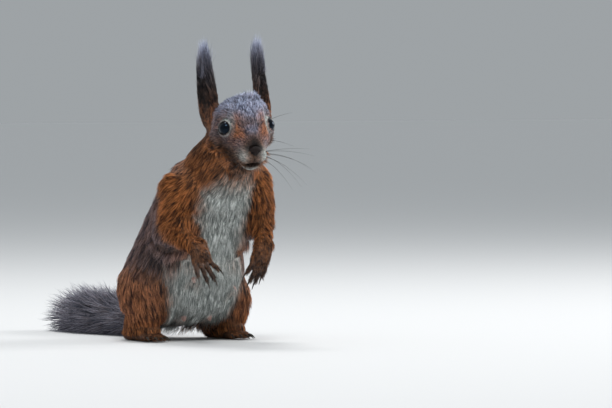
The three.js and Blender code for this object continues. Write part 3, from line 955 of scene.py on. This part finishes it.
def tufts(name, coat, weight, count, rings=2, clump=12, pull=0.6, scatter=9.0, full=1.0, fat=1.0, raised=1.0,
          tone=0.5, grain=(1, 1, 0.55), drawn_in=None):
    """A piece of closed tapering tufts rooted on the skin and following the lie of the coat.

    About every clump-th tuft heads a clump, and the others lean to its tip by the share in pull. Each turns
    aside by some degrees of scatter. The coat's own length, breadth and lift are multiplied by full, fat and
    raised. Tone is the mean shade, and grain shrinks the measure along an axis that clumps are long in.
    """
    faces, mix = coat.roots(weight, count)
    root, normal, flow, shares = (coat.at(values, faces, mix)
                                  for values in (coat.places, coat.normals, coat.flow, coat.shares))
    normal = unit(normal)
    hair, broad, root_lift, tip_lift = coat.at(coat.measures, faces, mix).T
    turn = np.radians(rng.normal(0, scatter, count))[:, None]
    flow = unit(laid_flat(unit(flow * np.cos(turn) + np.cross(flow, normal) * np.sin(turn)), normal))
    hair = (hair * rng.uniform(*HAIR_RANGE, count) * full * MM)[:, None]
    broad = broad * rng.uniform(*BROAD_RANGE, count) * fat * MM
    lift = np.tan(np.radians(root_lift * raised * rng.uniform(*LIFT_RANGE, count)))[:, None]
    fall = (lift - np.tan(np.radians(tip_lift))[:, None]) / 2
    reach = flow + normal * (lift - fall)
    reach = hair * reach / np.linalg.norm(reach, axis=1, keepdims=True)
    lean, clump_share = gathered(root, reach, clump, pull, grain)
    if drawn_in:
        lean = drawn_in(root + reach + lean) - root - reach
    curl = rng.normal(0, CURL, count)[:, None]

    steps = np.linspace(0, 1, rings + 1)
    t = steps[:, None, None]
    line = root + flow * hair * t + normal * hair * (lift * t - fall * t**2)
    side = unit(np.cross(flow, normal))
    line = line + lean * t**2 + side * (curl * hair) * t**2 - normal * (SEAT * (1 - t))
    points = above_floor(three_sided(line, normal, broad))
    mesh, loops = joined(name, points, rings)

    up_tuft = np.append(np.repeat(steps[:-1], 3), 1.0)
    drawn = np.stack([np.append(np.tile([-1, 0, 1], rings), 0), up_tuft - 0.5], axis=1)
    patch = (coat.unwrap[faces] * mix[:, :, None]).sum(axis=1)[:, None] + drawn * np.array(PATCH)
    uv = mesh.uv_layers.new(name="OFBake")
    uv.data.foreach_set("uv", patch.reshape(-1, 2)[loops].astype(np.float32).ravel())
    tuft = np.ones((*points.shape[:2], 4))
    tuft[..., 0] = np.clip(rng.normal(tone, 0.3, count), 0, 1)[:, None]
    tuft[..., 1] = up_tuft
    tuft[..., 2] = clump_share[:, None]
    write_colours(mesh, "tuft", tuft.reshape(-1, 4))
    write_colours(mesh, "markings", np.repeat(shares, points.shape[1], axis=0))
    return shown(name, mesh, coat.material)


def write_colours(mesh, name, values):
    layer = mesh.color_attributes.new(name, "FLOAT_COLOR", "POINT")
    layer.data.foreach_set("color", values.astype(np.float32).ravel())


# Materials

def new_group(name, inputs, outputs):
    """A shared effect of the shader, with its sockets."""
    group = bpy.data.node_groups.new(name, "ShaderNodeTree")
    for label, kind in inputs.items():
        group.interface.new_socket(label, in_out="INPUT", socket_type=kind)
    for label, kind in outputs.items():
        group.interface.new_socket(label, in_out="OUTPUT", socket_type=kind)
    return group, group.nodes.new("NodeGroupInput"), group.nodes.new("NodeGroupOutput")


def feed(tree, node, inputs):
    """Links or sets some of a node's inputs, by their labels or numbers."""
    for label, value in inputs.items():
        if isinstance(value, bpy.types.NodeSocket):
            tree.links.new(value, node.inputs[label])
        else:
            node.inputs[label].default_value = value


def fitted(tree, kind, inputs, **settings):
    """A new shader node with its settings made and its inputs fed."""
    made = tree.nodes.new("ShaderNode" + kind)
    for setting, value in settings.items():
        setattr(made, setting, value)
    feed(tree, made, inputs)
    return made


def math_node(tree, operation, *values):
    clamped = operation == "MULTIPLY_ADD"
    made = fitted(tree, "Math", dict(enumerate(values)), operation=operation, use_clamp=clamped)
    return made.outputs[0]


def mixed(tree, share, first, second):
    """One colour mixed over another."""
    made = fitted(tree, "Mix", {"Factor": share}, data_type="RGBA")
    numbers = [number for number, socket in enumerate(made.inputs) if socket.type == "RGBA"]
    for number, value in zip(numbers, (first, second)):
        feed(tree, made, {number: value if isinstance(value, bpy.types.NodeSocket) else (*value, 1)})
    return next(socket for socket in made.outputs if socket.type == "RGBA")


def remapped(tree, value, low, high, to_low=0.0, to_high=1.0):
    spans = {"From Min": low, "From Max": high, "To Min": to_low, "To Max": to_high}
    return fitted(tree, "MapRange", {"Value": value, **spans}).outputs["Result"]


# Colours of the coat, each as a dark and a pale hair
BROWN = (0.024, 0.018, 0.016), (0.34, 0.265, 0.225)
RUST = (0.028, 0.007, 0.003), (1.0, 0.36, 0.105)
# Frosted grey hair tips, painted blue for the cool sky light on them.
SKY_TINTED_FROST = (0.15, 0.175, 0.275), (0.62, 0.73, 1.0)
DARK = (0.005, 0.004, 0.004), (0.06, 0.040, 0.034)
WHITE = (0.24, 0.27, 0.255), (0.97, 1.0, 0.97)
BARE_SKIN = (0.42, 0.22, 0.18)


def coat_colours():
    """The coat's colour from the shares of its markings, the tuft's own shade and the way up the tuft."""
    group, given, result = new_group(
        "coat_colours",
        {"Markings": "NodeSocketColor", "Dark share": "NodeSocketFloat", "Shade": "NodeSocketFloat",
         "Along": "NodeSocketFloat", "Clump": "NodeSocketFloat"},
        {"Color": "NodeSocketColor", "Roughness": "NodeSocketFloat"},
    )
    white, frost, rust = fitted(group, "SeparateColor", {0: given.outputs["Markings"]}).outputs
    shade, along_tuft, clump = (given.outputs[n] for n in ("Shade", "Along", "Clump"))
    tone = math_node(group, "MULTIPLY_ADD", shade, 0.5, math_node(group, "MULTIPLY", clump, 0.5))
    tone = remapped(group, tone, 0.36, 0.71)
    tip = remapped(group, along_tuft, 0.25, 0.95)
    frosted = math_node(group, "MULTIPLY", frost, remapped(group, tip, 0, 1, 0.35, 1.0))
    colour = mixed(group, tone, *BROWN)
    colour = mixed(group, rust, colour, mixed(group, tone, *RUST))
    colour = mixed(group, frosted, colour, mixed(group, tone, *SKY_TINTED_FROST))
    frosted_tip = math_node(group, "MULTIPLY", tip, frost)
    undarkened = remapped(group, frosted_tip, 0, 0.6, 1.0, 0.35)
    darkened = math_node(group, "MULTIPLY", given.outputs["Dark share"], undarkened)
    colour = mixed(group, darkened, colour, mixed(group, tone, *DARK))
    # Each tuft darkens towards its root: partly the hair's own darker base, partly painted shade deep in the
    # coat.
    root = remapped(group, along_tuft, 0.0, 0.8, 0.12, 1.0)
    shaded_to_root = fitted(group, "HueSaturation", {"Value": root, "Color": colour})
    colour = mixed(group, white, shaded_to_root.outputs["Color"], mixed(group, tone, *WHITE))
    feed(group, result, {"Color": colour, "Roughness": remapped(group, shade, 0, 1, 0.42, 0.68)})
    return group


def new_material(name):
    material = bpy.data.materials.new(name)
    material.use_nodes = True
    tree = material.node_tree
    return material, tree, tree.nodes["Principled BSDF"]


def attribute(tree, name):
    return fitted(tree, "Attribute", {}, attribute_name=name)


def object_noise(tree, scale, detail=3.0):
    at = tree.nodes.new("ShaderNodeTexCoord").outputs["Object"]
    return fitted(tree, "TexNoise", {"Vector": at, "Scale": scale, "Detail": detail}).outputs[0]


def bumped(tree, height, strength, distance):
    bump = fitted(tree, "Bump", {"Strength": strength, "Distance": distance, "Height": height})
    return bump.outputs["Normal"]


def marked_material(name, group, gloss):
    """A material that takes its roughness from the markings, and their colours for it to use."""
    material, tree, shader = new_material(name)
    marks = attribute(tree, "markings").outputs
    given = {"Markings": marks["Color"], "Dark share": marks["Alpha"]}
    colours = fitted(tree, "Group", given, node_tree=group)
    feed(tree, shader, {"Roughness": colours.outputs["Roughness"], "Specular IOR Level": gloss})
    return material, tree, shader, colours


def coat_material(group):
    material, tree, shader, colours = marked_material("coat", group, gloss=0.22)
    split = fitted(tree, "SeparateColor", {0: attribute(tree, "tuft").outputs["Color"]})
    feed(tree, colours, dict(zip(("Shade", "Along", "Clump"), split.outputs)))
    normal = bumped(tree, object_noise(tree, 2600), strength=0.25, distance=0.0002)
    feed(tree, shader, {"Base Color": colours.outputs["Color"], "Sheen Weight": 0.03,
                        "Sheen Roughness": 0.4, "Normal": normal})
    return material


def skin_material(group):
    material, tree, shader, colours = marked_material("skin", group, gloss=0.3)
    fine = object_noise(tree, 1500, 4.0)
    # The skin takes the tone near a tuft's root, with its painted shade.
    feed(tree, colours, {"Shade": fine, "Clump": object_noise(tree, 180), "Along": 0.3})
    bare_tint = remapped(tree, attribute(tree, "bare_pink").outputs["Fac"], 0, 1, 0, 0.8)
    colour = mixed(tree, bare_tint, colours.outputs["Color"], BARE_SKIN)
    feed(tree, shader, {"Base Color": colour, "Normal": bumped(tree, fine, strength=0.5, distance=0.0004)})
    return material


def plain_material(name, dark, pale, rough, scale, bump, gloss=0.4, reflection_tint=(1, 1, 1)):
    """Bare horn, wet eye or leathery skin: two close tones, uneven gloss and a fine grain."""
    material, tree, shader = new_material(name)
    grain = object_noise(tree, scale)
    feed(tree, shader, {
        "Base Color": mixed(tree, grain, dark, pale),
        "Roughness": remapped(tree, grain, 0.3, 0.7, *rough),
        "Specular IOR Level": gloss,
        "Specular Tint": (*reflection_tint, 1),
        "Normal": bumped(tree, grain, bump, distance=0.0002),
    })
    return material


# Eyes, nose, claws and whiskers

def eyeballs(material):
    for side in SIDES:
        ball = bmesh.new()
        bmesh.ops.create_uvsphere(ball, u_segments=48, v_segments=32, radius=EYE_RADIUS)
        axis = Vector(eye_axis(side) @ HEAD_AXES)
        turn = axis.to_track_quat("Z", "Y").to_matrix().to_4x4()
        for vert in ball.verts:  # the clear front of the eye stands a little proud
            vert.co.z *= 1.0 + 0.06 * max(0.0, vert.co.z / EYE_RADIUS) ** 3
        bmesh.ops.transform(ball, matrix=Matrix.Translation(EYES[side]) @ turn, verts=ball.verts)
        mesh = made_mesh(f"eyeball_{side}", ball)
        shown(f"eyeball_{side}", mesh, material, [f"eye_{side}"])


def nose_pad(material):
    """A rounded wedge, broadest above, with a nostril curling round each side and a cleft below."""
    low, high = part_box("nose")
    half = (high - low).x / 2 / MM
    pad = bmesh.new()
    bmesh.ops.create_uvsphere(pad, u_segments=72, v_segments=56, radius=1.0)
    for vert in pad.verts:
        across, ahead, up = vert.co.x, vert.co.z, vert.co.y
        taper = 0.45 + 0.55 * min(max((up + 1.0) / 1.25, 0.0), 1.0)
        vert.co = Vector((across * half * taper, ahead * 2.6, up * half * 0.84))
    for vert in pad.verts:
        across, ahead, up = vert.co
        if ahead > 0:
            off = abs(across) - 0.5 * half
            hole = math.exp(-((off / 0.8) ** 2) - ((up + 0.2 + 0.55 * off) / 0.62) ** 2)
            cleft = math.exp(-((across / 0.35) ** 2)) * min(max((0.8 - up) / 2.0, 0.0), 1.0)
            vert.co.y -= 1.7 * hole + 0.5 * cleft
    centre = in_head(middle("nose"))
    for vert in pad.verts:
        vert.co = Vector(from_head(np.array(vert.co) + centre))
    bmesh.ops.recalc_face_normals(pad, faces=pad.faces)
    shown("nose_pad", made_mesh("nose_pad", pad), material, ["nose"])


def horn_claws(material):
    """Each claw is its solid's own shape, merged and rounded."""
    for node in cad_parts:
        if not node.startswith("claw"):
            continue
        mesh = made_mesh(node + "_horn", node_solid(node))
        piece = shown(node + "_horn", mesh, material, [node])
        rounding = piece.modifiers.new("rounding", "SUBSURF")
        rounding.levels = rounding.render_levels = 2


WHISKER_RADIUS = 0.17 * MM


def whisker(solid, root, way, length, droop):
    """One tapering whisker, bent down towards its tip."""
    rings = []
    way = unit(way)
    for share in np.linspace(0, 1, 9):
        at = root + way * length * share + np.array([0, 0, -1]) * droop * share**2
        along_it = Vector(way * length + np.array([0, 0, -2]) * droop * share)
        turn = along_it.to_track_quat("Z", "Y").to_matrix().to_4x4()
        made = bmesh.ops.create_circle(solid, segments=5, radius=WHISKER_RADIUS * (1 - 0.85 * share),
                                       cap_ends=share in (0, 1), matrix=Matrix.Translation(at) @ turn)
        rings.append(made["verts"])
    for first, second in zip(rings, rings[1:]):
        edges = {e for ring in (first, second) for v in ring for e in v.link_edges
                 if all(other in ring for other in e.verts)}
        bmesh.ops.bridge_loops(solid, edges=list(edges))


# Roots of the whiskers on one side of the head: to the side, ahead, up, then their way, length and droop.
WHISKERS = [
    ((7.5, 20, -9.5), (0.92, 0.25, 0.30), 34, 4),
    ((8.2, 18.5, -10.5), (0.95, 0.15, 0.12), 36, 7),
    ((8.0, 19.5, -12), (0.93, 0.25, 0.02), 34, 10),
    ((8.6, 17.5, -12.5), (0.97, 0.05, -0.06), 38, 14),
    ((7.8, 19, -14), (0.92, 0.22, -0.18), 32, 14),
    ((8.4, 17, -14.5), (0.95, 0.0, -0.25), 30, 16),
    ((7.0, 20.5, -15), (0.85, 0.35, -0.35), 24, 12),
    ((12, 8, 8), (0.7, 0.35, 0.6), 22, 3),
    ((15, 3, -10), (0.95, 0.1, -0.1), 20, 4),
]


def whiskers(material):
    solid = bmesh.new()
    for side in SIDES.values():
        for root, way, length, droop in WHISKERS:
            way = np.array(way) * (side, 1, 1) + rng.normal(0, 0.03, 3)
            start = from_head(np.array(root) * (side, 1, 1))
            whisker(solid, start, way @ HEAD_AXES, length * MM, droop * MM)
    bmesh.ops.recalc_face_normals(solid, faces=solid.faces)
    shown("whiskers", made_mesh("whiskers", solid), material)


# Studio

FLOOR_TONE = 0.66
SKY = (0.90, 0.96, 1.0, 1)
LIT = (0, -0.05, 0.1)  # where the lamps point


def studio():
    """A pale floor under soft light."""
    ground = bmesh.new()
    bmesh.ops.create_grid(ground, x_segments=1, y_segments=1, size=12)
    floor = linked("floor", made_mesh("floor", ground))
    material, tree, shader = new_material("floor")
    feed(tree, shader, {"Base Color": (FLOOR_TONE, FLOOR_TONE, FLOOR_TONE, 1), "Roughness": 0.8})
    floor.data.materials.append(material)
    bpy.context.scene.view_settings.view_transform = "Standard"
    bpy.context.scene.world = backdrop()
    soft_light("key", at=(-0.7, -1.2, 1.9), size=0.6, power=17)
    soft_light("fill", at=(1.9, -0.5, 0.9), size=1.0, power=25)
    soft_light("top", at=(0.2, 0.5, 1.8), size=0.7, power=17)


def backdrop():
    """Even light from all round, seen behind the floor as the floor's own far tone."""
    world = bpy.data.worlds.new("studio")
    world.use_nodes = True
    tree = world.node_tree
    lighting = tree.nodes["Background"]
    feed(tree, lighting, {"Color": SKY, "Strength": 0.55})
    seen = fitted(tree, "Background", {"Color": SKY, "Strength": 0.575 * FLOOR_TONE})
    in_view = tree.nodes.new("ShaderNodeLightPath").outputs["Is Camera Ray"]
    choice = fitted(tree, "MixShader", {0: in_view, 1: lighting.outputs[0], 2: seen.outputs[0]})
    feed(tree, tree.nodes["World Output"], {"Surface": choice.outputs[0]})
    return world


def soft_light(name, at, size, power):
    light = bpy.data.lights.new(name, "AREA")
    light.shape = "DISK"
    light.size = size
    light.energy = power
    lamp = linked(name, light)
    lamp.location = at
    lamp.rotation_euler = (Vector(LIT) - Vector(at)).to_track_quat("-Z", "Y").to_euler()


AIM = (0.0890, -0.0578, 0.0978)
AZIMUTH, ELEVATION = math.radians(-33), math.radians(1.5)
DISTANCE = 4.0
VIEW_WIDE = 0.4468


def camera():
    data = bpy.data.cameras.new("camera")
    data.lens = data.sensor_width * DISTANCE / VIEW_WIDE
    seat = linked("camera", data)
    back = Vector((math.sin(AZIMUTH), -math.cos(AZIMUTH), 0)) * math.cos(ELEVATION)
    back.z = math.sin(ELEVATION)
    seat.location = Vector(AIM) + back * DISTANCE
    seat.rotation_euler = (-back).to_track_quat("-Z", "Y").to_euler()
    bpy.context.scene.camera = seat


# Assembly

def unwrapped(piece):
    """Gives the skin its own unwrap."""
    bpy.context.view_layer.objects.active = piece
    piece.select_set(True)
    piece.data.uv_layers.new(name="OFBake")
    bpy.ops.object.mode_set(mode="EDIT")
    bpy.ops.mesh.select_all(action="SELECT")
    bpy.ops.uv.smart_project(angle_limit=math.radians(66), island_margin=0.002)
    bpy.ops.object.mode_set(mode="OBJECT")
    piece.select_set(False)


def squirrel():
    studio()
    camera()
    group = coat_colours()
    mesh, owner = bare_skin()
    bare = skin_details(mesh, owner)
    unwrapped(shown("skin", mesh, skin_material(group), FLESH))
    places = places_of(mesh)
    shares = markings(places, normals_of(mesh), edges_of(mesh), owner, bare)
    write_colours(mesh, "markings", shares)
    pink = mesh.attributes.new("bare_pink", "FLOAT", "POINT")
    pink.data.foreach_set("value", bare["pink"].astype(np.float32))
    clothe(Coat(mesh, owner, shares, bare, coat_material(group)), owner, places, 1 - bare["bare"])
    # The eye's reflections are tinted blue, a painted sky reflection.
    eyeballs(plain_material(
        "wet_eye", dark=(0.001, 0.001, 0.001), pale=(0.004, 0.003, 0.003), rough=(0.10, 0.15),
        scale=300, bump=0.02, gloss=0.25, reflection_tint=(0.30, 0.52, 0.85)))
    nose_pad(plain_material(
        "nose_leather", dark=(0.004, 0.003, 0.003), pale=(0.022, 0.013, 0.011), rough=(0.55, 0.70),
        scale=2600, bump=0.5, gloss=0.15))
    horn_claws(plain_material(
        "horn", dark=(0.012, 0.009, 0.007), pale=(0.07, 0.05, 0.035), rough=(0.25, 0.45),
        scale=900, bump=0.2))
    whiskers(plain_material(
        "whisker", dark=(0.010, 0.008, 0.007), pale=(0.04, 0.03, 0.025), rough=(0.35, 0.5),
        scale=500, bump=0.3))


BACK_OF_CHEEKS, BACK_OF_MUZZLE = -2, 14  # ahead of the eyes
MUZZLE_THICKER = 1.6
BACK_OF_BREAST, MIDDLE_OF_BRUSH = -62, 60  # measured backwards along the body
FACE_FUR = {"clump": 3, "pull": 0.3, "grain": EVEN}
CROWN_FUR = {"clump": 4, "pull": 0.35, "grain": EVEN}
PAW_FUR = {"clump": 6, "pull": 0.4, "grain": EVEN}
# The underfur is darker: the underfur's own grey, with painted shade deep in the coat.
UNDERFUR = {"clump": 4, "pull": 0.3, "full": 0.6, "raised": 0.85, "tone": 0.25}
LONG_FUR = {"clump": 5, "pull": 0.45, "scatter": 5, "tone": 0.55, "grain": (1, 1, 0.2)}
BREAST_FUR = {**LONG_FUR, "scatter": 4}
BRUSH = {"rings": 3, "clump": 9, "pull": 0.4, "scatter": 13, "grain": (1, 0.5, 1)}


def clothe(coat, owner, places, covered):
    """Every piece of the coat, with each tuft rooted where its weight allows."""
    def on(*parts):
        return is_on(owner, *parts) * covered

    ahead_in_head = in_head(places)[:, 1]
    front = ahead_in_head > BACK_OF_CHEEKS
    face = on("head") * front * np.where(ahead_in_head > BACK_OF_MUZZLE, MUZZLE_THICKER, 1.0)
    tufts("fur_face", coat, face, 19000, **FACE_FUR)
    tufts("fur_crown", coat, on("head") * ~front, 8500, **CROWN_FUR)
    height = ear_heights(places, owner)
    on_ears = {"pull": 0.4, "full": 0.9, "drawn_in": into_ear_tuft}
    tufts("fur_ears", coat, on("ear") * (0.2 + ease(0.55, 0.35, height)), 7000, **on_ears)
    on_tips = {"rings": 3, "clump": 30, "pull": 0.3, "scatter": 6, "fat": 0.8, "drawn_in": into_ear_tuft}
    tufts("ear_tufts", coat, on("ear") * ease(0.2, 0.5, height), 3200, **on_tips)
    body = on("neck", "trunk", "upper_arm", "forearm", "thigh", "lower_leg")
    ahead = places[:, 1] < BACK_OF_BREAST * MM
    tufts("underfur_front", coat, body * ahead, 6500, **UNDERFUR)
    tufts("underfur_back", coat, body * ~ahead, 6500, **UNDERFUR)
    tufts("fur_neck", coat, on("neck"), 11000, **LONG_FUR)
    tufts("fur_breast", coat, on("trunk") * ahead, 17000, **BREAST_FUR)
    tufts("fur_back", coat, on("trunk") * ~ahead, 13000, **LONG_FUR)
    tufts("fur_arms", coat, on("upper_arm", "forearm"), 17000, **LONG_FUR)
    tufts("fur_haunches", coat, on("thigh", "lower_leg"), 12500, **LONG_FUR)
    tufts("fur_paws", coat, on("forepaw", "hind_foot"), 9000, **PAW_FUR)
    half = places[:, 1] < MIDDLE_OF_BRUSH * MM
    tufts("fur_brush", coat, on("tail") * half, 5600, **BRUSH)
    tufts("fur_brush_tip", coat, on("tail") * ~half, 5600, **BRUSH)


def into_ear_tuft(tips):
    """Draws the tips of an ear's hairs together towards the tip of its tuft."""
    (share, on_line), (other_share, on_other) = (ear_share(side, tips) for side in SIDES)
    other = np.linalg.norm(tips - on_other, axis=1) < np.linalg.norm(tips - on_line, axis=1)
    share = np.where(other, other_share, share)
    on_line = np.where(other[:, None], on_other, on_line)
    keep = np.interp(share, [0.3, 0.6, 1.0], [0.95, 0.6, 0.35])[:, None]
    return on_line + (tips - on_line) * keep


squirrel()
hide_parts("ear_tuft_left", "ear_tuft_right")
